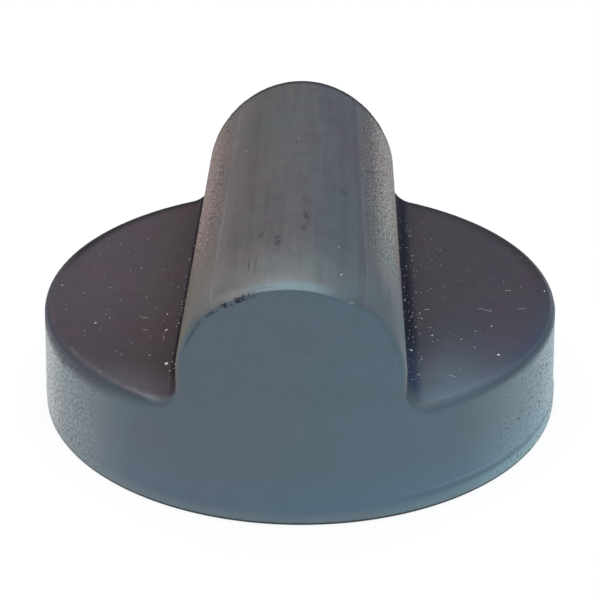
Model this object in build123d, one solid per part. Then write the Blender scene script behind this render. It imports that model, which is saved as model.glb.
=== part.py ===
from build123d import *
import math
import os

# A jack pad moulded in one piece from black rubber: a thick round disc with a round-topped ridge
# straight across it. Millimetres, +Z up, origin at the centre of the flat underside, with the
# ridge along Y. The nominal size is the diameter over the widest place, the band round the foot.

# Disc
base_diameter = 66.0
disc_thickness = 13.7

# Ridge
ridge_width = 26.0
overall_height = 30.7
ridge_offset = -0.45  # the ridge is moulded a little to the left of the disc's middle

# Mould
draft_angle = 2.5  # degrees that the side wall leans inward above the parting line
parting_height = 2.2  # the two halves of the mould met here
parting_step = 0.08  # how far the wall stands back from the band below the parting line
mould_shift = -0.05  # the upper half of the mould sat a little to the left of the lower half

# Rounded edges
top_edge_radius = 1.0
root_radius = 2.2
base_edge_radius = 0.4

# Worked out from the sizes above
base_radius = base_diameter / 2
half_ridge = ridge_width / 2
crown_centre_height = overall_height - half_ridge
wall_radius = base_radius - parting_step
wall_height = overall_height - parting_height
wall_top_radius = wall_radius - wall_height * math.tan(math.radians(draft_angle))
mid_wall_height = (parting_height + disc_thickness) / 2


def cross_section():
    """The outline that a cut square to the ridge shows above the parting line, wider than the disc."""
    reach = base_diameter
    # The root arc touches the disc's top and the flank, or the crown itself on a ridge so low that
    # none of its flank stands above the root.
    root_centre_height = disc_thickness + root_radius
    sunk = max(root_centre_height - crown_centre_height, 0)
    root_centre_x = math.sqrt((half_ridge + root_radius) ** 2 - sunk ** 2)
    crown_share = half_ridge / (half_ridge + root_radius)
    root_foot = (root_centre_x, disc_thickness)
    root_top = (root_centre_x * crown_share, root_centre_height - sunk * (1 - crown_share))
    flank_top = (half_ridge, crown_centre_height) if sunk == 0 else root_top
    with BuildSketch(Plane.XZ) as section:
        with BuildLine():
            Polyline((0, parting_height), (reach, parting_height), (reach, disc_thickness), root_foot)
            RadiusArc(root_foot, root_top, root_radius)
            if flank_top[1] > root_top[1]:
                Line(root_top, flank_top)
            RadiusArc(flank_top, (0, overall_height), -half_ridge)
            mirror(about=Plane.YZ)
        make_face()
    return section.sketch


def upper_body():
    """The disc and the ridge as one form, cut to the round leaning wall, with every top edge rounded."""
    prism = Pos(ridge_offset, 0, 0) * extrude(cross_section(), amount=base_diameter, both=True)
    wall = Pos(mould_shift, 0, parting_height) * Cone(wall_radius, wall_top_radius, wall_height,
                                                      align=(Align.CENTER, Align.CENTER, Align.MIN))
    body = prism & wall
    wall_edges = body.faces().filter_by(GeomType.CONE).edges()
    # The wall's other edges, its seam and its foot, reach down to the parting line.
    top_edges = wall_edges.filter_by(lambda edge: edge.bounding_box().min.Z > mid_wall_height)
    return fillet(top_edges, top_edge_radius)


def base_band():
    """The low band under the parting line, from the other half of the mould."""
    band = Cylinder(base_radius, parting_height, align=(Align.CENTER, Align.CENTER, Align.MIN))
    return fillet(band.edges().group_by(Axis.Z)[0], base_edge_radius)


def jack_pad():
    return upper_body() + base_band()


os.makedirs("parts", exist_ok=True)
export_step(jack_pad(), "parts/jack_pad.step")
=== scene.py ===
import math
import random

import bpy
from mathutils import Matrix, Vector


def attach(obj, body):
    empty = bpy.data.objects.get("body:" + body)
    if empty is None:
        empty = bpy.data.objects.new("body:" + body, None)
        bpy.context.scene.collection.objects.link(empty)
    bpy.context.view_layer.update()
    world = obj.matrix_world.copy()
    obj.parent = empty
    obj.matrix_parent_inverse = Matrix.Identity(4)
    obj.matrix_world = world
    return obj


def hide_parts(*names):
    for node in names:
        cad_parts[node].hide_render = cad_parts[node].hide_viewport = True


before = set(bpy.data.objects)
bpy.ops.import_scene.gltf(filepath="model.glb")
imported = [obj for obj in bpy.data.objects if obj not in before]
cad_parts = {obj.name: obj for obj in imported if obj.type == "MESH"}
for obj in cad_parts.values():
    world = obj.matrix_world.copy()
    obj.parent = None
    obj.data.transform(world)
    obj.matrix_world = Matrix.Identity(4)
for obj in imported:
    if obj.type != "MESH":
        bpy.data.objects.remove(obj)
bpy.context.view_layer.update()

# Blender works in metres, in the part's own frame: the origin is the middle of the underside, and the ridge
# runs along Y. Every size below is in millimetres, except for those of the view and the studio, and every
# angle is in degrees, except where it is said to be in radians.
MM = 0.001

# The view of the photograph
FOCAL_LENGTH = 0.1019
FILM_WIDTH = 0.036
VIEW_DISTANCE = 0.2182
VIEW_ELEVATION = 27.21
VIEW_AZIMUTH = 1.14
VIEW_ROLL = 0.157
AIM = (-0.00005, 0, 0.01217)
NEAREST_SEEN = 0.01

# The pad's shape
BASE_RADIUS = 33.0
WALL_RADIUS = 32.92  # at the parting line
WALL_MIDDLE = -0.05
WALL_SLOPE = math.tan(math.radians(2.5))
PARTING_HEIGHT = 2.2
DISC_TOP = 13.7
RIDGE_MIDDLE = -0.45
RIDGE_HALF = 13.0
CROWN_CENTRE = 17.7
ROOT_RADIUS = 2.2
BASE_EDGE = 0.4

# The pad's skin: small squares down to the cut, and rings round the foot below it
MESH_SIZE = 0.42
MERGE_REACH = 0.001
CUT_REACH = 0.0001
NEAR_SKIN = 0.035  # how far the solid's small flats lie inside its true curves
CUT_HEIGHT = PARTING_HEIGHT + 0.35
WALL_STRIP = 0.05  # the first ring, which is still part of the wall
BAND_SLOPE = 0.45  # how far down the soft step at the parting line reaches
BAND_RINGS = 3
BASE_EDGE_RINGS = 5
UNDERSIDE_RING = 1.0
SMOOTH_TURN = 50

# The worn edge of the crown's front end. It runs through pairs of depths, in from the wall and in from the
# crown, and a line of equal difference between the two leads from the rounded edge to the worn one.
WORN_EDGE = ((3.6, 0), (3.0, 0.03), (2.4, 0.1), (1.8, 0.22), (1.3, 0.38), (0.9, 0.55), (0.5, 0.77),
             (0.25, 0.92), (0.12, 1.01), (0.05, 1.09), (0.01, 1.2), (0, 1.4), (0, 1.8))
WORN_ABOVE = CROWN_CENTRE + 5
WORN_TURN = 58  # how far down the crown's sides the wear reaches
WORN_FADE = 30  # the last part of that, over which it fades away
WORN_CUTS = 3

# Flash lines that run along the crown: how far round from its top each crosses the pad's middle, and how
# much that changes with each millimetre toward the back
LEFT_FLASH_LINE = (-9.35, 0.0137)
RIGHT_FLASH_LINE = (8.75, -0.0177)
SEAM_GAP = 0.65  # how far inside the right one the dark seam lies

# Torn marks along the edge of the crown's front end: middle, reach and core round the crown, and strength
TORN_MARKS = ((-7.0, 3.2, 1.4, 1.0), (-12.8, 4.8, 2.2, 0.8), (15.5, 4.0, 2.0, 0.35))
TORN_DEPTH = 1.20  # in from the crown

# The disc's pale crest, in from the wall, and the wall's painted highlight line, over the parting line
CREST_DEPTH = 0.85
HIGHLIGHT_LINE_RISE = 0.55

# The crown's dark smudges: middle, what distances across, along and up are multiplied by, and reach
SMUDGES = (((0.76, -9.6, 30.6), (1.2, 0.5, 0.5), 0.7), ((1.0, -14.2, 30.6), (1.2, 0.35, 0.5), 0.9),
           ((0.7, -17.6, 30.6), (1.3, 0.5, 0.5), 0.7), ((-2.2, -21.6, 30.5), (1.7, 0.30, 0.5), 1.1),
           ((-4.2, -18.8, 30.1), (1.6, 0.4, 0.5), 0.7), ((5.4, -5.0, 29.3), (1.0, 0.6, 0.5), 0.7),
           ((-4.4, -26.9, 30.0), (3.0, 0.18, 0.5), 0.45), ((-5.2, -25.9, 29.7), (3.0, 0.18, 0.5), 0.4))
SMUDGE_CORE = 0.15

# A pale nick in the worn edge, in the same way
NICK = ((6.7, -31.1, 27.85), (0.40, 1.0, 2.6), 0.45)
NICK_CORE = 0.10

# The larger specks of dust: place across, place along and size
SPECKS = ((-27.47, -1.88, 0.22), (-25.03, -9.95, 0.31), (-23.5, -8.33, 0.18), (-22.66, -3.7, 0.17),
          (-19.46, -2.79, 0.18), (-29.13, -6.33, 0.22), (-30.6, 0.3, 0.24), (-15.35, -20.03, 0.58),
          (-16.13, -11.55, 0.43), (-16.38, -7.35, 0.24), (-21.73, -16.99, 0.19), (-17.57, -17.87, 0.16),
          (-20.06, -14.71, 0.17), (-15.65, 0.13, 0.19), (31.2, 0.21, 0.31), (28.37, 1.27, 0.19),
          (23.68, -9.48, 0.26), (23.93, -16.81, 0.46), (19.78, -12.93, 0.24), (21.62, -10.83, 0.18),
          (21.21, -14.9, 0.19), (16.32, -12.0, 0.19), (13.59, -16.45, 0.31), (19.2, -20.3, 0.17),
          (13.16, -4.1, 0.26), (13.79, 6.58, 0.24), (-7.19, 9.33, 0.22), (-0.48, 9.3, 0.17),
          (7.88, 6.8, 0.22), (9.11, 26.39, 0.19), (5.03, -27.6, 0.29), (-20.98, 5.6, 0.17),
          (-24.6, 12.9, 0.16), (18.5, 12.0, 0.17))
# One that clings to the wall: place across, height and size
WALL_SPECK = (-24.1, 10.9, 0.26)
# Drifts of small specks: reach across, reach along, how many, and the largest size
DRIFTS = (((13.0, 14.8), (-24, 24), 140, 0.19), ((15.0, 18.5), (-20, 22), 60, 0.16),
          ((18.0, 30.0), (-14, 14), 60, 0.14), ((-15.0, -13.7), (-25, 22), 70, 0.20),
          ((-28.0, -15.0), (-18, 16), 70, 0.15), ((-8.0, 8.0), (-28, 25), 22, 0.12))
DRIFT_REACH = 31.3  # from the pad's middle
# Single fibres: place across, place along, length and heading
FIBRES = ((-16.4, -13.85, 0.8, 60), (-18.7, -8.4, 0.7, 160), (22.3, -4.9, 1.0, 10), (23.3, -5.2, 0.9, 320),
          (27.3, -4.8, 0.9, 15), (14.9, -6.6, 0.7, 70), (15.5, -5.4, 0.8, 40), (15.3, -7.9, 0.6, 120),
          (17.8, -21.8, 0.8, 350), (26.2, 0.1, 0.8, 30), (-19.0, -11.5, 0.7, 20), (4.6, -20.7, 0.6, 315))
FIBRE_STEPS = 6
FIBRE_RADIUS = 0.022
FIBRE_LIFT = 0.03
# Flakes: how wide, how thick and how far up they are, as shares of their size, and a wall flake's shape
FLAKE_WIDTHS = (0.55, 1)
FLAKE_THICKNESS = 0.5
FLAKE_LIFT = 0.15
WALL_FLAKE = (1, 0.8, 0.6)
SMALLEST_FLAKE = 0.45  # as a share of the largest in its drift
CRUMPLE = 0.012
# How far a flake tilts, how far a fibre turns at each step, and a full turn, in radians
FLAKE_TILT = 0.4
FIBRE_BEND = 0.3
FULL_TURN = 6.28
# Where the random draws start
DUST_SEED = 7
CRUMPLE_SEED = 5


def only(piece):
    """Makes a piece the only one that operators act on."""
    bpy.ops.object.select_all(action="DESELECT")
    piece.select_set(True)
    bpy.context.view_layer.objects.active = piece


def wall_radius(height):
    return WALL_RADIUS - (height - PARTING_HEIGHT) * WALL_SLOPE


def true_curve(place):
    """Moves a place on one of the solid's small flats out to the round wall or crown that they stand for."""
    x, y, z = place
    radius = math.hypot(x - WALL_MIDDLE, y)
    if abs(radius - wall_radius(z)) < NEAR_SKIN:
        stretch = wall_radius(z) / radius
        x, y = WALL_MIDDLE + (x - WALL_MIDDLE) * stretch, y * stretch
    turn_radius = math.hypot(x - RIDGE_MIDDLE, z - CROWN_CENTRE)
    if z > CROWN_CENTRE and abs(turn_radius - RIDGE_HALF) < NEAR_SKIN:
        stretch = RIDGE_HALF / turn_radius
        x, z = RIDGE_MIDDLE + (x - RIDGE_MIDDLE) * stretch, CROWN_CENTRE + (z - CROWN_CENTRE) * stretch
    return Vector((x, y, z))


def edge_depths(place):
    """How deep a place lies in from the wall and in from the crown."""
    x, y, z = place
    wall_depth = wall_radius(z) - math.hypot(x - WALL_MIDDLE, y)
    crown_depth = RIDGE_HALF - math.hypot(x - RIDGE_MIDDLE, z - CROWN_CENTRE)
    return wall_depth, crown_depth


def by_the_worn_edge(place):
    """Whether a place is near enough to the crown's front edge for wear to move it."""
    wall_depth, crown_depth = edge_depths(place)
    at_front = place.y < 0 and place.z > WORN_ABOVE
    return at_front and wall_depth < WORN_EDGE[0][0] and crown_depth < WORN_EDGE[-1][1]


def worn(place):
    """Moves a place on the crown's rounded front edge out to the flatter, crisper edge that wear left."""
    wall_depth, crown_depth = edge_depths(place)
    turn = math.atan2(place.x - RIDGE_MIDDLE, place.z - CROWN_CENTRE)
    share = min(max((math.radians(WORN_TURN) - abs(turn)) / math.radians(WORN_FADE), 0), 1)
    along = wall_depth - crown_depth
    for (start_wall, start_crown), (end_wall, end_crown) in zip(WORN_EDGE, WORN_EDGE[1:]):
        start, end = start_wall - start_crown, end_wall - end_crown
        if end <= along <= start:
            step = (start - along) / (start - end)
            new_wall = start_wall + (end_wall - start_wall) * step
            new_crown = start_crown + (end_crown - start_crown) * step
            wall_depth += (new_wall - wall_depth) * share
            crown_depth += (new_crown - crown_depth) * share
            break
    x = RIDGE_MIDDLE + (RIDGE_HALF - crown_depth) * math.sin(turn)
    z = CROWN_CENTRE + (RIDGE_HALF - crown_depth) * math.cos(turn)
    y = -math.sqrt((wall_radius(z) - wall_depth) ** 2 - (x - WALL_MIDDLE) ** 2)
    return Vector((x, y, z))


def fine_skin(solid):
    """A merged copy of the solid, remade in small squares and laid back on the solid's surface."""
    pad = solid.copy()
    pad.data = solid.data.copy()
    pad.name = "moulded_pad"
    bpy.context.scene.collection.objects.link(pad)
    only(pad)
    bpy.ops.mesh.customdata_custom_splitnormals_clear()
    bpy.ops.object.mode_set(mode="EDIT")
    bpy.ops.mesh.select_all(action="SELECT")
    bpy.ops.mesh.remove_doubles(threshold=MERGE_REACH * MM)
    bpy.ops.object.mode_set(mode="OBJECT")
    pad.data.remesh_voxel_size = MESH_SIZE * MM
    bpy.ops.object.voxel_remesh()
    wrap = pad.modifiers.new("lie on the solid", "SHRINKWRAP")
    wrap.target = solid
    bpy.ops.object.modifier_apply(modifier=wrap.name)
    return pad


def round_off(pad):
    """Cuts the skin off above the parting line, with the cut selected, and lays it on the true curves."""
    bpy.ops.object.mode_set(mode="EDIT")
    bpy.ops.mesh.select_all(action="SELECT")
    bpy.ops.mesh.bisect(plane_co=(0, 0, CUT_HEIGHT * MM), plane_no=(0, 0, 1), clear_inner=True,
                        threshold=CUT_REACH * MM)
    bpy.ops.object.mode_set(mode="OBJECT")
    for vertex in pad.data.vertices:
        vertex.co = true_curve(vertex.co / MM) * MM


def add_ring(middle, start, end, drop, shift=0.0):
    """Extrudes the open lower edge down by the drop and from one radius to the next."""
    bpy.ops.mesh.extrude_edges_move(TRANSFORM_OT_translate={"value": (shift * MM, 0, -drop * MM)})
    bpy.ops.transform.resize(value=(end / start, end / start, 1), center_override=(middle * MM, 0, 0))


def add_foot():
    """The soft step at the parting line, the band below it with its rounded edge, and the flat underside."""
    bpy.ops.object.mode_set(mode="EDIT")
    step_top = CUT_HEIGHT - WALL_STRIP
    add_ring(WALL_MIDDLE, wall_radius(CUT_HEIGHT), wall_radius(step_top), WALL_STRIP)
    add_ring(0, wall_radius(step_top), BASE_RADIUS, BAND_SLOPE, -WALL_MIDDLE)
    band_height = step_top - BAND_SLOPE - BASE_EDGE
    for ring in range(BAND_RINGS):
        add_ring(0, 1, 1, band_height / BAND_RINGS)
    radius, drop = BASE_RADIUS, 0
    for ring in range(1, BASE_EDGE_RINGS + 1):
        turn = math.radians(90 / BASE_EDGE_RINGS * ring)
        next_radius = BASE_RADIUS - BASE_EDGE * (1 - math.cos(turn))
        next_drop = BASE_EDGE * math.sin(turn)
        add_ring(0, radius, next_radius, next_drop - drop)
        radius, drop = next_radius, next_drop
    add_ring(0, radius, radius - UNDERSIDE_RING, 0)
    bpy.ops.mesh.edge_face_add()
    bpy.ops.mesh.select_all(action="DESELECT")
    bpy.ops.object.mode_set(mode="OBJECT")


def wear_edge(pad):
    """Divides the skin by the crown's front edge more finely and lays it on the worn edge."""
    for face in pad.data.polygons:
        face.select = by_the_worn_edge(face.center / MM)
    bpy.ops.object.mode_set(mode="EDIT")
    bpy.ops.mesh.subdivide(number_cuts=WORN_CUTS)
    bpy.ops.object.mode_set(mode="OBJECT")
    for vertex in pad.data.vertices:
        if by_the_worn_edge(vertex.co / MM):
            vertex.co = worn(vertex.co / MM) * MM


def moulded_pad(solid):
    """The fine skin with its foot, worn edge and finish, which takes the solid's place."""
    pad = fine_skin(solid)
    round_off(pad)
    add_foot()
    wear_edge(pad)
    bpy.ops.object.mode_set(mode="EDIT")
    bpy.ops.mesh.select_all(action="SELECT")
    bpy.ops.mesh.normals_make_consistent(inside=False)
    bpy.ops.object.mode_set(mode="OBJECT")
    bpy.ops.object.shade_smooth_by_angle(angle=math.radians(SMOOTH_TURN))
    pad.data.materials.clear()
    pad.data.materials.append(Rubber().material)
    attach(pad, "root")
    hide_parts("jack_pad")


class Sum:
    """A node's socket, on which plain Python sums are written."""

    def __init__(self, nodes, socket):
        self.nodes = nodes
        self.socket = socket

    def __add__(self, other):
        return self.nodes.maths("ADD", self, other)

    def __sub__(self, other):
        return self.nodes.maths("SUBTRACT", self, other)

    def __rsub__(self, other):
        return self.nodes.maths("SUBTRACT", other, self)

    def __mul__(self, other):
        return self.nodes.maths("MULTIPLY", self, other)

    def __truediv__(self, other):
        return self.nodes.maths("DIVIDE", self, other)

    def __pow__(self, other):
        return self.nodes.maths("POWER", self, other)

    def __abs__(self):
        return self.nodes.maths("ABSOLUTE", self)

    def at_most(self, other):
        return self.nodes.maths("MINIMUM", self, other)

    def at_least(self, other):
        return self.nodes.maths("MAXIMUM", self, other)

    __radd__ = __add__
    __rmul__ = __mul__


class Nodes:
    """The nodes of a material or of the world, and the ways in which they are added."""

    def __init__(self, tree, output):
        self.tree = tree
        self.surface = tree.nodes[output].inputs["Surface"]

    def feed(self, socket, value):
        """Gives a socket a link or a value. A colour is written without its opacity."""
        if isinstance(value, Sum):
            self.tree.links.new(value.socket, socket)
        elif socket.type == "RGBA":
            socket.default_value = (*value, 1)
        else:
            socket.default_value = value

    def node(self, kind, settings, values):
        """Adds a node with its settings first and then the values or links of its sockets."""
        node = self.tree.nodes.new(kind)
        for name, value in settings.items():
            setattr(node, name, value)
        for name, value in values.items():
            self.feed(node.inputs[name], value)
        return node

    def add(self, kind, settings, values, output=0):
        return Sum(self, self.node(kind, settings, values).outputs[output])

    def maths(self, operation, *values):
        return self.add("ShaderNodeMath", {"operation": operation}, dict(enumerate(values)))

    def on_rays(self, *kinds):
        """1 for rays of these kinds and 0 for others."""
        path = self.node("ShaderNodeLightPath", {}, {})
        return sum(Sum(self, path.outputs[kind]) for kind in kinds).at_most(1.0)

    def show(self, factor, first, second):
        """Shows the first shader at factor 0 and the second at factor 1."""
        self.feed(self.surface, self.add("ShaderNodeMixShader", {}, {0: factor, 1: first, 2: second}))


class Finish(Nodes):
    """A material, the nodes that give it its look, and the place on the piece in millimetres."""

    def __init__(self, name):
        self.material = bpy.data.materials.new(name)
        self.material.use_nodes = True
        super().__init__(self.material.node_tree, "Material Output")
        self.shader = self.tree.nodes["Principled BSDF"]
        self.shine = Sum(self, self.shader.outputs[0])
        coordinates = self.add("ShaderNodeTexCoord", {}, {}, "Object")
        scaling = {0: coordinates, "Scale": 1 / MM}
        self.place = self.add("ShaderNodeVectorMath", {"operation": "SCALE"}, scaling)

    def set(self, name, value):
        self.feed(self.shader.inputs[name], value)

    def axes(self, vector):
        split = self.node("ShaderNodeSeparateXYZ", {}, {0: vector})
        return [Sum(self, output) for output in split.outputs]

    def joined(self, x, y, z):
        return self.add("ShaderNodeCombineXYZ", {}, {0: x, 1: y, 2: z})

    def scaled(self, vector, factors):
        return self.add("ShaderNodeVectorMath", {"operation": "MULTIPLY"}, {0: vector, 1: factors})

    def moved(self, vector, by):
        return self.add("ShaderNodeVectorMath", {"operation": "ADD"}, {0: vector, 1: by})

    def fade(self, value, start, end):
        """0 at start and 1 at end, with a soft change between."""
        return self.add("ShaderNodeMapRange", {"interpolation_type": "SMOOTHSTEP"},
                        {"Value": value, "From Min": start, "From Max": end})

    def span(self, value, start, full, still_full, end):
        """1 between the two middle values and 0 beyond the outer two."""
        return self.fade(value, start, full) * self.fade(value, end, still_full)

    def spot(self, middle, factors, reach, core):
        """1 within the core and 0 past the reach of a middle. Distances are multiplied along each axis."""
        offset = self.scaled(self.moved(self.place, tuple(-side for side in middle)), factors)
        distance = self.add("ShaderNodeVectorMath", {"operation": "LENGTH"}, {0: offset}, "Value")
        return self.fade(distance, reach, core)

    def noise(self, vector, size, detail=2.0, roughness=0.5, output=0):
        return self.add("ShaderNodeTexNoise", {}, {"Vector": vector, "Scale": 1 / size, "Detail": detail,
                                                   "Roughness": roughness}, output)

    def cells(self, vector, size, output):
        return self.add("ShaderNodeTexVoronoi", {}, {"Vector": vector, "Scale": 1 / size}, output)

    def scatter(self, vector, size, reach, chance):
        """Dots in some of many cells: how a dot fades out, and by what lot a cell has one."""
        lot = self.axes(self.cells(vector, size, "Color"))[0]
        return self.fade(self.cells(vector, size, "Distance"), *reach) * self.fade(lot, *chance)

    def blend_values(self, factor, first, second):
        return first + (second - first) * factor

    def blend(self, factor, first, second, kind="MIX"):
        """Mixes two colours, from the first at factor 0 to the second at factor 1."""
        values = {"Factor": factor, 6: first, 7: second}
        return self.add("ShaderNodeMix", {"data_type": "RGBA", "blend_type": kind}, values, 2)

    def toned(self, mask, colour, factors):
        """Multiplies a colour by factors for its red, green and blue where a mask holds."""
        return self.blend(mask, colour, factors, "MULTIPLY")


class Rubber(Finish):
    """Black rubber, whose tints and marks go by the place; many of the tints are painted light and shade. A
    mask is 1 where its finish holds.
    """

    def __init__(self):
        super().__init__("rubber")
        self.find_places()
        self.find_zones()
        self.tone = self.noise(self.place, 2.6, 4.0, 0.6)
        self.speckle = self.noise(self.place, 0.35, 2.0, 0.7)
        colour = self.blend(self.on_disc, self.ridge_tint(), self.disc_tint())
        colour = self.with_root_shade(colour)
        colour = self.blend(self.wall, colour, self.wall_tint())
        colour = self.with_rim_shade(colour)
        colour = self.with_tips(colour)
        colour = self.with_clouds(colour)
        colour = self.with_mottling(colour)
        colour = self.with_drag_marks(colour)
        colour = self.with_flash_lines(colour)
        colour = self.with_pits(colour)
        colour = self.with_torn_marks(colour)
        colour = self.blend(self.spot(*NICK, NICK_CORE) * 0.55, colour, (0.300, 0.390, 0.420))
        colour = self.with_smudges(colour)
        self.set("Base Color", colour)
        self.set("Roughness", self.roughness())
        self.set("Normal", self.relief())
        # A near-black matte that takes the place of the shine where hidden() holds: a painted contact shadow
        # at the bottom edge and painted shade in the roots and on the rim
        dull = self.add("ShaderNodeBsdfDiffuse", {}, {"Color": (0.012, 0.012, 0.014)})
        self.show(self.hidden(), self.shine, dull)

    def find_places(self):
        """Where a spot lies on the pad, in millimetres."""
        self.x, self.y, self.z = self.axes(self.place)
        self.ridge_x = self.x - RIDGE_MIDDLE
        self.from_ridge = abs(self.ridge_x)
        ridge_z = self.z - CROWN_CENTRE
        wall_x = self.x - WALL_MIDDLE
        radius = (wall_x ** 2 + self.y ** 2) ** 0.5
        # Depths below the true wall and below the true crown or flank
        self.wall_gap = WALL_RADIUS - (self.z - PARTING_HEIGHT) * WALL_SLOPE - radius
        self.crown_gap = RIDGE_HALF - (self.ridge_x ** 2 + ridge_z.at_least(0) ** 2) ** 0.5
        # The way round the crown from its top and round the wall from its front, with the left side below 0
        self.crown_way = self.maths("ARCTAN2", self.ridge_x, ridge_z) * RIDGE_HALF
        self.wall_way = self.maths("ARCTAN2", wall_x, 0 - self.y) * WALL_RADIUS
        # Toward the pad's sides: from 0 at the front and back to 1 at the left and right
        self.sideways = abs(self.x) / radius

    def find_zones(self):
        self.right = self.fade(self.x, -14.0, 14.0)
        self.left = 1 - self.right
        self.front = self.fade(self.y, 2.0, -20.0)
        self.at_end = self.fade(self.y, -20.0, -26.0)
        self.high = self.fade(self.z, DISC_TOP + 1.6, DISC_TOP + 3.4)
        self.on_disc = self.fade(self.z, DISC_TOP + 1.2, DISC_TOP + 0.4)
        self.wall = self.fade(self.wall_gap, 0.24, 0.03)
        self.off_wall = 1 - self.wall
        self.on_ridge = self.high * self.off_wall
        self.side = self.fade(self.sideways, 0.55, 0.95)
        off_top = abs(self.crown_way + 0.4)
        self.shoulder = self.fade(off_top, 7.6, 11.5)
        self.flank = self.fade(off_top, 8.5, 16.0)
        # Painted shade: the back rim, where it turns away from the light, is painted into a dark line, but
        # less so on the right disc
        self.turned_away_shade = self.fade(self.wall_gap, 2.4, 1.0) * self.fade(self.y, 2.0, 12.0)
        self.turned_away_shade = self.turned_away_shade * (1 - self.right * self.on_disc * 0.45) * 0.8

    def lengthwise(self, back, front):
        """A tint that changes along the pad, from its back to its front."""
        return self.blend(self.front, back, front)

    def from_line(self, middle, slant):
        """How far round the crown a spot lies from a line that runs along it."""
        return self.crown_way - middle - self.y * slant

    def disc_tint(self):
        """The disc's top: dark plum, darker beside the ridge as painted shade, a little paler on the left as
        painted light, with a painted reflection and highlight by the right rim and a paler haze and crest by
        the left one.
        """
        # Painted shade and light: darker by the ridge, and paler on the left than on the right
        outward = self.fade(self.from_ridge, 13.5, 27.0)
        by_ridge = self.lengthwise((0.067, 0.049, 0.055), (0.061, 0.040, 0.046))
        by_rim = self.lengthwise((0.083, 0.064, 0.078), (0.069, 0.052, 0.066))
        left_plum = self.blend(outward, by_ridge, by_rim)
        by_ridge = self.lengthwise((0.056, 0.049, 0.058), (0.058, 0.052, 0.070))
        by_rim = self.lengthwise((0.058, 0.050, 0.065), (0.062, 0.062, 0.090))
        right_plum = self.blend(outward, by_ridge, by_rim)
        tint = self.blend(self.right, left_plum, right_plum)

        # A painted reflection inside the rim on the right: plum at the back, blue at the front and palest in
        # the corner by the ridge
        rim_reflection = self.fade(self.wall_gap, 3.5, 0.5) * self.right * 0.8
        rim_reflection_tint = self.blend(self.fade(self.y, -8.0, 6.0), (0.050, 0.064, 0.098), (0.048, 0.042, 0.052))
        tint = self.blend(rim_reflection, tint, rim_reflection_tint)
        from_corner = self.wall_gap + (self.x - 18.0).at_least(0) * 1.2
        self.corner = self.fade(from_corner, 15.0, 1.0) * self.fade(self.y, -4.0, -22.0) * self.right
        tint = self.blend(self.corner, tint, (0.086, 0.106, 0.148))
        # A painted highlight where the right front rim rolls over into the wall
        edge_highlight = self.fade(self.wall_gap, 4.5, 1.0) * self.fade(self.y, -20.5, -27.5) * self.right * 0.9
        tint = self.blend(edge_highlight, tint, (0.090, 0.148, 0.182))

        # On the left a rosy haze at the front, and a pale, speckled crest along the rim
        front_haze = self.fade(self.wall_gap, 8.0, 1.0) * self.fade(self.y, -16.0, -25.0) * self.left * 0.8
        tint = self.blend(front_haze, tint, (0.100, 0.088, 0.103))
        crest_patches = self.fade(self.noise(self.place, 4.0), 0.38, 0.62)
        crest = self.fade(abs(self.wall_gap - CREST_DEPTH), 0.45, 0.12) * self.fade(self.speckle, 0.42, 0.60)
        crest = crest * self.front * self.left
        tint = self.blend(crest * (0.12 + crest_patches * 0.70), tint, (0.170, 0.158, 0.174))
        # Painted shade along the back rim
        return self.blend(self.turned_away_shade, tint, (0.014, 0.011, 0.014))

    def ridge_tint(self):
        """The ridge: a grey crown, with painted warm light down the left side and a painted grazing
        reflection that makes both flanks paler at the back.
        """
        # Painted light: warm down the left flank, and paler toward the back on both flanks
        left_flank = self.lengthwise((0.400, 0.268, 0.232), (0.225, 0.170, 0.136))
        right_flank = self.lengthwise((0.425, 0.385, 0.362), (0.250, 0.277, 0.300))
        left_side = self.blend(self.flank, (0.147, 0.105, 0.099), left_flank)
        right_side = self.blend(self.flank, (0.104, 0.101, 0.115), right_flank)
        sides = self.blend(self.right, left_side, right_side)
        tint = self.blend(self.fade(self.from_ridge, 1.5, 12.0), (0.119, 0.117, 0.122), sides)

        # A cool stripe down the crown's right, violet at the back and blue at the front
        stripe = self.span(self.x, -1.0, 4.0, 7.0, 10.0) * 0.75
        stripe_tint = self.blend(self.fade(self.y, 6.0, -16.0), (0.103, 0.105, 0.134), (0.087, 0.111, 0.138))
        tint = self.blend(stripe, tint, stripe_tint)

        # The crown's front end is painted pale, partly as rubbed wear and partly as a painted highlight,
        # most of all on its worn edge, and to the right of that it is made rougher and painted darker as
        # shade
        rubbed_and_highlit = self.fade(self.wall_gap, 13.0, 2.0) * self.fade(self.y, -8.0, -20.0)
        rubbed_and_highlit = rubbed_and_highlit * self.fade(self.z, 20.0, 27.0)
        rubbed_and_highlit_tint = self.blend(self.fade(self.x, -9.0, -3.0), (0.168, 0.153, 0.142), (0.166, 0.164, 0.168))
        rubbed_and_highlit_tint = self.blend(self.fade(self.x, -1.0, 6.5), rubbed_and_highlit_tint, (0.104, 0.130, 0.152))
        tint = self.blend(rubbed_and_highlit, tint, rubbed_and_highlit_tint)
        threads = self.noise(self.joined(self.crown_way / 2.2, self.wall_gap / 0.30, 7.0), 1.0, 3.0, 0.7)
        ragged_gap = self.wall_gap + (self.speckle - 0.5) * 0.9 + (threads - 0.5) * 1.2
        self.worn_and_highlit_edge = self.fade(ragged_gap, 1.6, 0.5) * self.span(self.x, -12.0, -8.0, 1.0, 7.0)
        self.worn_and_highlit_edge = self.worn_and_highlit_edge * self.at_end * self.high
        # Wear and a painted highlight on the worn edge, bluer to the right
        worn_and_highlit_tint = self.blend(self.fade(self.x, -8.0, -1.0), (0.205, 0.192, 0.190), (0.165, 0.235, 0.272))
        worn_and_highlit_tint = self.blend(self.fade(threads, 0.52, 0.38) * 0.50, worn_and_highlit_tint, (0.110, 0.140, 0.158))
        tint = self.blend(self.worn_and_highlit_edge, tint, worn_and_highlit_tint)
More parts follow.
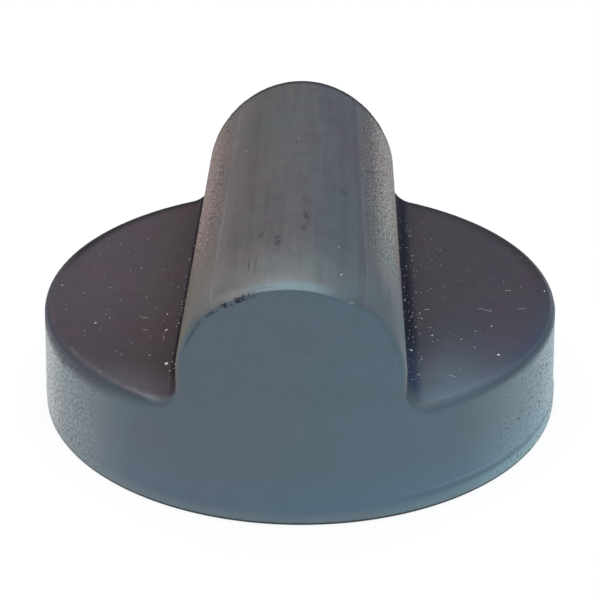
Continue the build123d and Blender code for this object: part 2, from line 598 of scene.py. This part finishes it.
        # Painted shade to the right of the worn edge
        self.dulled = self.fade(self.wall_gap, 1.4, 0.1) * self.span(self.x, 2.0, 7.0, 7.5, 11.0)
        self.dulled = self.dulled * self.at_end
        tint = self.blend(self.dulled * 0.8, tint, (0.090, 0.112, 0.130))
        # Painted shade along the back rim
        return self.blend(self.turned_away_shade, tint, (0.012, 0.012, 0.014))

    def wall_tint(self):
        """The wall and the ridge's ends: blue grey, bluer low down as painted floor bounce light, and paler
        toward both sides as a painted grazing reflection.
        """
        # Painted light: floor bounce low down, and a grazing reflection toward the sides
        low = self.fade(self.z, 8.5, 1.5)
        far_side_reflection = self.fade(self.sideways, 0.86, 0.99) * 0.8
        left_wall = self.blend(low, (0.101, 0.131, 0.165), (0.102, 0.145, 0.201))
        left_wall = self.blend(self.side, left_wall, (0.245, 0.275, 0.295))
        left_wall = self.blend(far_side_reflection, left_wall, (0.590, 0.580, 0.570))
        right_wall = self.blend(low, (0.095, 0.150, 0.194), (0.096, 0.175, 0.243))
        right_side = self.blend(low, (0.176, 0.254, 0.310), (0.168, 0.325, 0.412))
        right_wall = self.blend(self.side, right_wall, right_side)
        right_wall = self.blend(far_side_reflection, right_wall, (0.300, 0.470, 0.565))
        tint = self.blend(self.fade(self.x, -18.0, 18.0), left_wall, right_wall)

        # The foot is a little paler and greyer
        tint = self.blend(self.fade(self.z, 2.1, 0.6) * 0.75, tint, (0.188, 0.236, 0.268))
        # The parting line: a faint painted highlight on the step's edge, a soft painted shadow under it, and
        # below them a paler band, a painted reflection, all fading toward the left
        shown = self.fade(self.x, 7.0, 26.0)
        band = self.fade(self.z, 2.0, 1.5) * shown
        rise = self.z - PARTING_HEIGHT
        highlight_line = self.fade(abs(rise - HIGHLIGHT_LINE_RISE), 0.25, 0.05) * shown
        step_shadow_line = self.fade(abs(rise), 0.36, 0.08) * shown
        tint = self.blend(band * (0.30 + self.side * 0.60), tint, (0.260, 0.460, 0.540))
        tint = self.blend(highlight_line * 0.35, tint, (0.230, 0.350, 0.420))
        return self.blend(step_shadow_line * 0.34, tint, (0.060, 0.085, 0.105))

    def with_root_shade(self, colour):
        """Painted shade along the roots, where the ridge meets the disc: wide and navy on the right, thin on
        the left.
        """
        on_foot = self.fade(self.z, DISC_TOP + 2.6, DISC_TOP + 1.6) * self.off_wall
        right_root = self.span(self.ridge_x, 12.4, 12.9, 14.1, 15.4)
        left_reach = self.ridge_x - self.fade(self.y, -20.0, -27.0) * 0.35
        left_root = self.fade(left_reach, -14.45, -13.95) * self.fade(self.ridge_x, -12.6, -12.9)
        self.root = (right_root + left_root) * on_foot
        # How far the painted shade in the roots also takes away their shine
        left_depth = left_root * self.fade(self.y, -28.5, -22.0) * 0.45
        right_depth = right_root * self.fade(self.y, -25.0, -12.0) * 0.4
        self.deep_root_shade = (left_depth + right_depth) * on_foot
        navy = self.blend(self.fade(self.y, -8.0, -22.0), (0.007, 0.011, 0.036), (0.016, 0.033, 0.084))
        navy = self.blend(self.fade(self.z, DISC_TOP + 0.7, DISC_TOP + 1.5), navy, (0.003, 0.004, 0.010))
        navy = self.blend(self.fade(self.y, -24.0, -28.0), navy, (0.062, 0.095, 0.125))
        left_tint = self.blend(self.at_end, (0.014, 0.009, 0.011), (0.046, 0.038, 0.044))
        return self.blend(self.root * 0.92, colour, self.blend(self.right, left_tint, navy))

    def with_rim_shade(self, colour):
        """Painted shade on the rounded rim: a dark band a little way down the wall, violet on the left and
        blue on the right.
        """
        by_root = self.fade(self.from_ridge, 25.0, 15.0)
        depth = self.wall_gap + by_root * self.left * 0.28
        rim = self.fade(depth, 0.75, 0.50) * self.fade(self.from_ridge, 13.7, 16.5)
        left_band = self.fade(self.z - by_root * 1.2, 10.8, 12.6) * self.left * (1 - by_root * 0.35)
        right_band = self.fade(self.z, 12.0, 13.2) * self.right
        self.rim_shade_band = rim * (left_band + right_band)
        violet = self.blend(by_root, (0.072, 0.069, 0.092), (0.068, 0.088, 0.110))
        blue = self.blend(self.fade(self.x, 18.0, 27.0), (0.082, 0.124, 0.158), (0.055, 0.084, 0.118))
        blue = self.blend(self.fade(self.y, -10.0, 0.0), blue, (0.135, 0.138, 0.164))
        return self.blend(self.rim_shade_band * 0.85, colour, self.blend(self.right, violet, blue))

    def with_tips(self, colour):
        """The disc's two front tips, beside the ridge's end, get a pale blue painted reflection on the rim.
        """
        tips = self.fade(self.wall_gap, 1.1, 0.4) * self.fade(self.from_ridge, 18.2, 15.8)
        tips = tips * self.off_wall * (1 - self.high) * self.at_end
        tint = self.blend(self.right, (0.110, 0.136, 0.160), (0.090, 0.132, 0.162))
        return self.blend(tips * 0.85, colour, tint)

    def with_clouds(self, colour):
        """Wide clouds, greener here and rosier there, and a finer tone and speckle."""
        greener = self.fade(self.noise(self.place, 11.0, 1.5), 0.40, 0.62)
        elsewhere = self.moved(self.place, (37.0, 11.0, 5.0))
        rosier = self.fade(self.noise(elsewhere, 7.0), 0.45, 0.65) * (1 - self.wall * 0.8)
        darker = self.fade(self.tone, 0.70, 0.30) * (1 - self.on_disc * 0.5)
        paler = self.fade(self.speckle, 0.50, 0.75) * (self.side * self.wall + 0.38)
        colour = self.toned(greener, colour, (0.93, 1.02, 1.0))
        colour = self.toned(rosier, colour, (1.06, 0.96, 1.0))
        colour = self.toned(darker, colour, (0.90, 0.90, 0.91))
        return self.toned(paler, colour, (1.16, 1.16, 1.15))

    def with_mottling(self, colour):
        """Rougher skin on the wall's sides and the ridge's shoulders: painted glints, dull blotches and
        scuffs.
        """
        # Places on the skin, that run round the wall or over the crown
        round_way = self.blend_values(self.wall, self.crown_way, self.wall_way * 0.6)
        other_way = self.blend_values(self.wall, self.y * 0.72, self.z)
        self.skin = self.joined(round_way, other_way, 0.0)
        self.rough_ridge = self.on_ridge * self.shoulder * self.fade(self.y, -26.0, -5.0)
        left_grain = self.fade(self.sideways, 0.62, 0.92) * self.left * 0.78
        right_grain = self.fade(self.sideways, 0.76, 0.98) * self.right * 0.782
        mottled = self.wall * (left_grain + right_grain) + self.rough_ridge
        mottling = self.noise(self.skin, 0.31, 2.0, 0.6)
        slanted = self.joined(self.wall_way / 5.0 + self.z / 7.0, self.z / 0.32 - self.wall_way / 6.0, 0.0)
        scuffs = self.fade(self.noise(slanted, 1.0, 2.0, 0.6), 0.57, 0.70)
        scuffs = scuffs * self.wall * self.fade(self.sideways, 0.66, 0.90)
        self.blotches = (self.fade(mottling, 0.49, 0.64) * mottled).at_least(scuffs * 0.40)
        # Painted glints: the colour is made about twice as bright in specks of the mottling
        return self.toned(self.fade(mottling, 0.47, 0.33) * mottled, colour, (2.05, 2.05, 2.05))

    def with_drag_marks(self, colour):
        """Lengthwise drag marks on the ridge, but not through its worn edge."""
        self.drag = self.noise(self.joined(self.crown_way / 0.30, self.y / 14.0, 0.0), 1.0, 3.0, 0.65)
        wide_drag = self.noise(self.joined(self.crown_way / 1.6, self.y / 22.0, 3.0), 1.0)
        marks = self.fade(self.drag, 0.50, 0.70) * 0.75 + self.fade(wide_drag, 0.42, 0.68) * 0.5
        return self.toned(marks * self.on_ridge * (1 - self.worn_and_highlit_edge), colour, (0.80, 0.80, 0.82))

    def with_flash_lines(self, colour):
        """A pale flash line down each shoulder, and a soft dark seam on the inner side of the right one."""
        faint = self.fade(self.noise(self.place, 5.0), 0.35, 0.6)
        left_gap, right_gap = self.from_line(*LEFT_FLASH_LINE), self.from_line(*RIGHT_FLASH_LINE)
        lines = self.fade(abs(left_gap), 0.20, 0.05) + self.fade(abs(right_gap), 0.20, 0.05) * 0.35
        self.lines = lines * faint * self.on_ridge
        seam = self.fade(abs(right_gap + SEAM_GAP), 0.75, 0.10) * self.fade(self.y, -27.0, -20.0)
        seam = seam * self.on_ridge
        colour = self.blend(self.lines * 0.30, colour, (0.30, 0.30, 0.31))
        return self.blend(seam * 0.38, colour, (0.055, 0.056, 0.066))

    def with_pits(self, colour):
        """Large and small pits in the wall's sides and the ridge's shoulders, in drifts, painted dark inside
        as shade.
        """
        pitted = (self.wall * self.fade(self.sideways, 0.60, 0.92) + self.rough_ridge).at_most(1.0)
        pitted = pitted * self.fade(self.noise(self.place, 4.5), 0.30, 0.55)
        bends = self.noise(self.skin, 0.5, output="Color")
        warped = self.moved(self.skin, self.scaled(bends, (0.22, 0.22, 0.22)))
        self.pits = self.scatter(warped, 0.9, (0.23, 0.12), (0.78, 0.86)) * pitted
        self.small_pits = self.scatter(warped, 0.45, (0.36, 0.18), (0.30, 0.60)) * pitted
        # Painted shade in the pits
        colour = self.blend(self.pits * 0.80, colour, (0.020, 0.024, 0.030))
        return self.blend(self.small_pits * (0.60 + self.rough_ridge * 0.25), colour, (0.040, 0.047, 0.056))

    def with_torn_marks(self, colour):
        """Dark torn marks along the edge of the crown's front end, most of them on its left."""
        self.past_top = self.fade(abs(self.crown_way), 6.0, 13.0)
        edge_gap = abs(self.crown_gap - TORN_DEPTH + self.past_top * 0.45 + (self.speckle - 0.5) * 0.45)
        edge = self.fade(edge_gap + self.past_top * 0.12, 0.38, 0.14) * self.fade(self.wall_gap, 0.7, 0.3)
        marks = sum(self.fade(abs(self.crown_way - middle), reach, core) * strength
                    for middle, reach, core, strength in TORN_MARKS)
        breaks = self.fade(self.noise(self.place, 0.8, 3.0, 0.6), 0.38, 0.52)
        self.torn = breaks * marks * edge * self.front * self.high
        tint = self.blend(self.past_top, (0.018, 0.018, 0.028), (0.036, 0.034, 0.052))
        return self.blend(self.torn * 0.85, colour, tint)

    def with_smudges(self, colour):
        """Small dark smudges on the crown, each long and narrow and made of strokes."""
        smudges = sum(self.spot(*smudge, SMUDGE_CORE) for smudge in SMUDGES).at_most(1.0)
        strokes = self.noise(self.scaled(self.place, (1.3, 0.6, 1.0)), 0.33, 2.0, 0.6)
        return self.blend(smudges * self.fade(strokes, 0.42, 0.56) * 0.78, colour, (0.034, 0.035, 0.045))

    def roughness(self):
        """Duller on the ridge and its shoulders, in the front corner, on the rim and in the marks."""
        base = 0.34 + (self.tone - 0.5) * 0.14 - self.on_disc * 0.02 + self.on_ridge * 0.05
        marks = self.pits * 0.3 + self.root * 0.25 + self.torn * 0.2
        places = (self.corner + self.dulled) * self.off_wall * 0.30 + self.shoulder * self.on_ridge * 0.18
        return base + marks + places + self.rim_shade_band * 0.25

    def relief(self):
        """A fine grain, with the flash lines raised and the other marks sunk."""
        grain = self.noise(self.place, 0.25, 3.0, 0.6)
        raised = grain * 0.35 + self.tone * 0.8 + self.lines * 0.4
        dragged = self.fade(self.drag, 0.55, 0.75) * self.on_ridge * 0.25
        height = raised - self.pits * 1.6 - self.small_pits * 0.6 - dragged - self.torn * 1.2
        return self.add("ShaderNodeBump", {}, {"Strength": 0.5, "Distance": 0.1 * MM, "Height": height})

    def hidden(self):
        """Places that hardly shine and go nearly black: the bottom edge, as a painted contact shadow; pits,
        blotches and torn marks; and the roots and the left rim, as painted shade.
        """
        # Painted contact shadow along the bottom edge
        hidden = (self.fade(self.z, 0.52, 0.36) * 0.7).at_least(self.pits * 0.7)
        hidden = hidden.at_least(self.small_pits * (0.50 + self.rough_ridge * 0.30))
        hidden = hidden.at_least(self.blotches * (0.50 + self.rough_ridge * 0.22))
        hidden = hidden.at_least(self.torn * (1 - self.past_top) * 0.5)
        return hidden.at_least(self.deep_root_shade).at_least(self.rim_shade_band * self.left * 0.10)


def pad_height(x):
    """How high the pad's top lies at a place across it."""
    across = abs(x - RIDGE_MIDDLE)
    if across < RIDGE_HALF:
        return CROWN_CENTRE + math.sqrt(RIDGE_HALF ** 2 - across ** 2)
    foot = max(ROOT_RADIUS - (across - RIDGE_HALF), 0)
    return DISC_TOP + ROOT_RADIUS - math.sqrt(ROOT_RADIUS ** 2 - foot ** 2)


def add_flake(place, size, turn, shape):
    location = [side * MM for side in place]
    bpy.ops.mesh.primitive_ico_sphere_add(subdivisions=1, radius=size / 2 * MM, location=location,
                                          rotation=turn, scale=shape)


def add_speck(x, y, size, chance):
    """A flake that lies nearly flat and a little sunk into the rubber's skin."""
    tilts = [chance.uniform(-FLAKE_TILT, FLAKE_TILT) for axis in range(2)]
    turn = [*tilts, chance.uniform(0, FULL_TURN)]
    shape = (1, chance.uniform(*FLAKE_WIDTHS), FLAKE_THICKNESS)
    add_flake((x, y, pad_height(x) + size * FLAKE_LIFT), size, turn, shape)


def add_wall_speck(x, z, size, chance):
    """A flake that clings to the side wall's front half."""
    y = -math.sqrt(wall_radius(z) ** 2 - (x - WALL_MIDDLE) ** 2)
    turn = [chance.uniform(0, FULL_TURN) for axis in range(3)]
    add_flake((x, y, z), size, turn, WALL_FLAKE)


def add_fibre(x, y, length, turn, chance):
    """A short bent hair: a small round face drawn out in steps that turn a little each time."""
    heading = math.radians(turn)
    bend = chance.uniform(-FIBRE_BEND, FIBRE_BEND)
    bpy.ops.mesh.primitive_circle_add(vertices=5, radius=FIBRE_RADIUS * MM, fill_type="NGON",
                                      location=(x * MM, y * MM, (pad_height(x) + FIBRE_LIFT) * MM),
                                      rotation=(math.radians(90), 0, heading + math.radians(90)))
    step = length / FIBRE_STEPS
    for part in range(FIBRE_STEPS):
        across, along = step * math.cos(heading), step * math.sin(heading)
        rise = pad_height(x + across) - pad_height(x)
        move = (across * MM, along * MM, rise * MM)
        bpy.ops.mesh.extrude_region_move(TRANSFORM_OT_translate={"value": move})
        x, y = x + across, y + along
        heading += bend
    bpy.ops.mesh.select_all(action="DESELECT")


def add_dust():
    """White dust on the pad, thickest beside the roots, where nothing wipes it off."""
    chance = random.Random(DUST_SEED)
    # An empty mesh, to which the flakes and fibres are then added
    bpy.ops.object.select_all(action="DESELECT")
    bpy.ops.mesh.primitive_ico_sphere_add(subdivisions=1, radius=0.1 * MM, location=(0, 0, 0))
    dust = bpy.context.active_object
    dust.name = "dust"
    bpy.ops.object.mode_set(mode="EDIT")
    bpy.ops.mesh.select_all(action="SELECT")
    bpy.ops.mesh.delete(type="VERT")
    for x, y, size in SPECKS:
        add_speck(x, y, size, chance)
    add_wall_speck(*WALL_SPECK, chance)
    for across, along, count, largest in DRIFTS:
        for speck in range(count):
            x, y = chance.uniform(*across), chance.uniform(*along)
            if math.hypot(x, y) < DRIFT_REACH:
                share = SMALLEST_FLAKE + (1 - SMALLEST_FLAKE) * chance.random() ** 2
                add_speck(x, y, largest * share, chance)
    bpy.ops.mesh.select_all(action="DESELECT")
    for x, y, length, turn in FIBRES:
        add_fibre(x, y, length, turn, chance)
    bpy.ops.mesh.select_all(action="SELECT")
    bpy.ops.transform.vertex_random(offset=CRUMPLE * MM, seed=CRUMPLE_SEED)
    bpy.ops.mesh.normals_make_consistent(inside=False)
    bpy.ops.object.mode_set(mode="OBJECT")
    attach(dust, "root")
    dust.data.materials.append(dust_look())


def dust_look():
    finish = Finish("dust")
    shade = finish.noise(finish.place, 1.4)
    finish.set("Base Color", finish.blend(shade, (0.46, 0.45, 0.48), (0.85, 0.84, 0.86)))
    finish.set("Roughness", 0.9)
    return finish.material


def paper_floor():
    """White paper: it keeps the pad's soft shadow, and looks white to the camera and in reflections."""
    finish = Finish("white paper")
    fibres = finish.noise(finish.place, 0.8, 3.0)
    finish.set("Base Color", finish.blend(fibres, (0.80, 0.88, 0.94), (0.82, 0.90, 0.96)))
    finish.set("Roughness", 0.9)
    finish.set("Specular IOR Level", 0.1)
    glow = finish.add("ShaderNodeEmission", {}, {"Color": (1, 1, 1), "Strength": 1.03})
    seen = finish.on_rays("Is Camera Ray", "Is Glossy Ray", "Is Transmission Ray")
    finish.show(seen * 0.86, finish.shine, glow)
    return finish.material


def add_floor():
    bpy.ops.object.select_all(action="DESELECT")
    bpy.ops.mesh.primitive_plane_add(size=4, location=(0, 0, 0))
    floor = bpy.context.active_object
    floor.name = "floor"
    floor.data.materials.append(paper_floor())


def light_world():
    """A faint sky that the camera sees as white."""
    world = bpy.data.worlds.new("studio")
    bpy.context.scene.world = world
    world.use_nodes = True
    studio = Nodes(world.node_tree, "World Output")
    background = world.node_tree.nodes["Background"]
    studio.feed(background.inputs["Color"], (0.92, 0.96, 1))
    studio.feed(background.inputs["Strength"], 0.1)
    sky = Sum(studio, background.outputs[0])
    white = studio.add("ShaderNodeBackground", {}, {"Color": (1, 1, 1), "Strength": 1.0})
    studio.show(studio.on_rays("Is Camera Ray"), sky, white)


def add_lamp(name, place, aim, size, power, colour):
    data = bpy.data.lights.new(name, "AREA")
    data.shape = "SQUARE"
    data.size = size
    data.energy = power
    data.color = colour
    lamp = bpy.data.objects.new(name, data)
    bpy.context.scene.collection.objects.link(lamp)
    lamp.location = place
    lamp.rotation_euler = (Vector(aim) - Vector(place)).to_track_quat("-Z", "Y").to_euler()


def add_camera():
    """A camera that looks down on the end of the ridge from the front, as in the photograph."""
    azimuth = math.radians(VIEW_AZIMUTH)
    elevation = math.radians(VIEW_ELEVATION)
    level_back = Vector((math.sin(azimuth), -math.cos(azimuth), 0))
    back = level_back * math.cos(elevation) + Vector((0, 0, math.sin(elevation)))
    level = Vector((math.cos(azimuth), math.sin(azimuth), 0))
    right = Matrix.Rotation(math.radians(VIEW_ROLL), 3, back) @ level
    up = back.cross(right)
    data = bpy.data.cameras.new("camera")
    data.sensor_width = FILM_WIDTH / MM
    data.lens = FOCAL_LENGTH / MM
    data.clip_start = NEAREST_SEEN
    camera = bpy.data.objects.new("camera", data)
    bpy.context.scene.collection.objects.link(camera)
    place = Vector(AIM) + VIEW_DISTANCE * back
    camera.matrix_world = Matrix.Translation(place) @ Matrix((right, up, back)).transposed().to_4x4()
    bpy.context.scene.camera = camera


bpy.context.scene.view_settings.view_transform = "Standard"
moulded_pad(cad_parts["jack_pad"])
add_dust()
add_floor()
light_world()
add_lamp("softbox above", place=(0.0, -0.08, 0.7), aim=(0, 0, 0.01), size=0.9, power=7.5,
         colour=(0.97, 1, 1))
add_camera()
